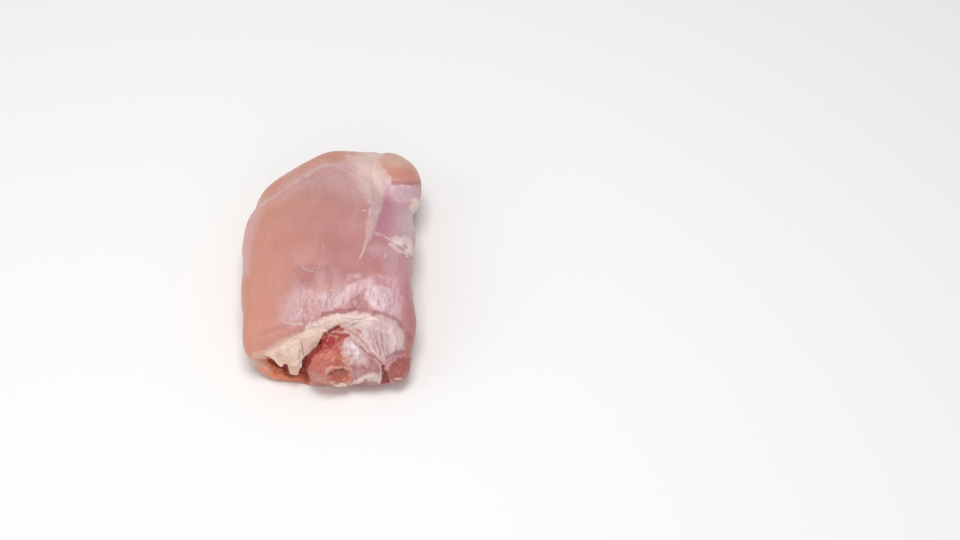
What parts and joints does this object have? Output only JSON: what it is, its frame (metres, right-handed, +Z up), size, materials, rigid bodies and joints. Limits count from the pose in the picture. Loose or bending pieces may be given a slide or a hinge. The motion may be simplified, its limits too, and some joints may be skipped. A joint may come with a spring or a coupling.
{
  "type": "raw chicken thigh",
  "caption": "Raw skinned bone-in chicken thigh lying outer side up: plump muscles, a sunken inner strip, a fat flap and collar over the bared knee end of the bone.",
  "frame": {"origin": "centre of the footprint's bounding box, on the surface that the thigh rests on", "axes": "+Y towards the hip end, -Y towards the knee end, +Z up, the outer side of the thigh facing up"},
  "size_m": [0.0752, 0.1208, 0.0364],
  "materials": {
    "muscle": "wet raw muscle with membranes and fat",
    "bone": "wet cartilage and torn red tissue"
  },
  "bodies": {
    "root": {"meat": "muscle", "femur": "bone"}
  },
  "joints": []
}
